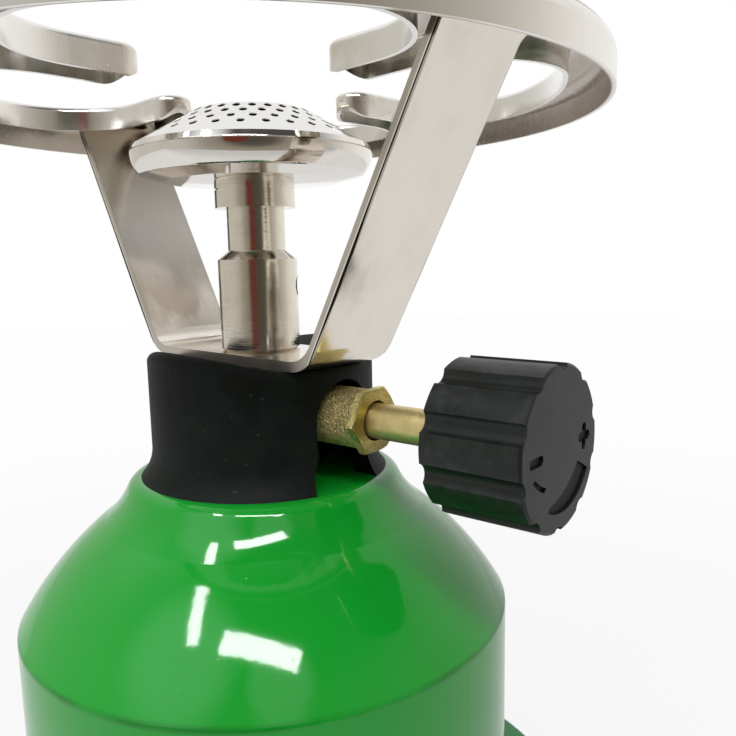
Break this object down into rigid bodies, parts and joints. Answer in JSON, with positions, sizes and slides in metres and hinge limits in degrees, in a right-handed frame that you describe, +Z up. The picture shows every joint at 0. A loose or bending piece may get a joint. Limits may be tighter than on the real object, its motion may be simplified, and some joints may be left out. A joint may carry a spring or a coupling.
{
  "type": "camping gas stove",
  "caption": "Camping stove on a pierceable gas cartridge: green housing on a round foot, control knob, burner head and a pot ring on a strip bracket.",
  "frame": {"origin": "on the floor under the middle of the foot", "axes": "+Z up, +X along the valve spindle towards the control knob"},
  "size_m": [0.135, 0.135, 0.1788],
  "materials": {
    "foot_plastic": "glossy green moulding",
    "pad_rubber": "matte",
    "support_rubber": "matte",
    "cartridge_steel": "lacquered steel",
    "housing_enamel": "glossy green enamel",
    "nut_brass": "machined",
    "washer_steel": "zinc plated",
    "valve_brass": "cast",
    "needle_steel": "hardened steel",
    "filter_felt": "felt",
    "seal_rubber": "matte",
    "spindle_brass": "turned",
    "o_ring_rubber": "matte",
    "packing_fibre": "fibre",
    "gland_brass": "machined",
    "knob_plastic": "satin black",
    "collar_rubber": "matte black",
    "bracket_nickel": "bright nickel plate",
    "rivet_steel": "nickel plate",
    "ring_nickel": "bright nickel plate",
    "jet_brass": "machined",
    "tube_nickel": "turned, nickel plate",
    "ferrule_nickel": "turned, nickel plate",
    "bowl_chrome": "mirror bright",
    "dome_chrome": "mirror bright"
  },
  "bodies": {
    "base": {"base_foot": "foot_plastic", "foot_pads": "pad_rubber", "support_ring": "support_rubber"},
    "cartridge": {"cartridge": "cartridge_steel"},
    "housing": {"housing": "housing_enamel", "valve_body": "valve_brass", "lock_nut": "nut_brass", "lock_washer": "washer_steel", "piercing_needle": "needle_steel", "gas_filter": "filter_felt", "cartridge_seal": "seal_rubber", "gland_packing": "packing_fibre", "gland_nut": "gland_brass", "collar": "collar_rubber", "pot_bracket": "bracket_nickel", "ring_rivets": "rivet_steel", "pot_ring": "ring_nickel", "jet": "jet_brass", "burner_tube": "tube_nickel", "burner_ferrule": "ferrule_nickel", "burner_bowl": "bowl_chrome", "burner_dome": "dome_chrome"},
    "packing": {"spindle_o_ring": "o_ring_rubber"},
    "knob": {"spindle": "spindle_brass", "knob": "knob_plastic"}
  },
  "joints": [
    {"name": "housing_turn", "type": "hinge", "parent": "base", "child": "cartridge", "pos_m": [0, 0, 0.019], "axis": [0, 0, 1], "range_deg": [0, 60]},
    {"name": "housing_lift", "type": "slide", "parent": "cartridge", "child": "housing", "axis": [0, 0, 1], "range_m": [0, 0.003]},
    {"name": "spindle_travel", "type": "slide", "parent": "housing", "child": "packing", "axis": [1, 0, 0], "range_m": [0, 0.00113]},
    {"name": "knob_turn", "type": "hinge", "parent": "packing", "child": "knob", "pos_m": [0.055, 0, 0.11577], "axis": [1, 0, 0], "range_deg": [0, 540]}
  ],
  "couplings": [
    {"joint": "housing_turn", "follows": "housing_lift", "rad_per_m": 349.07},
    {"joint": "knob_turn", "follows": "spindle_travel", "rad_per_m": 8377.6}
  ]
}
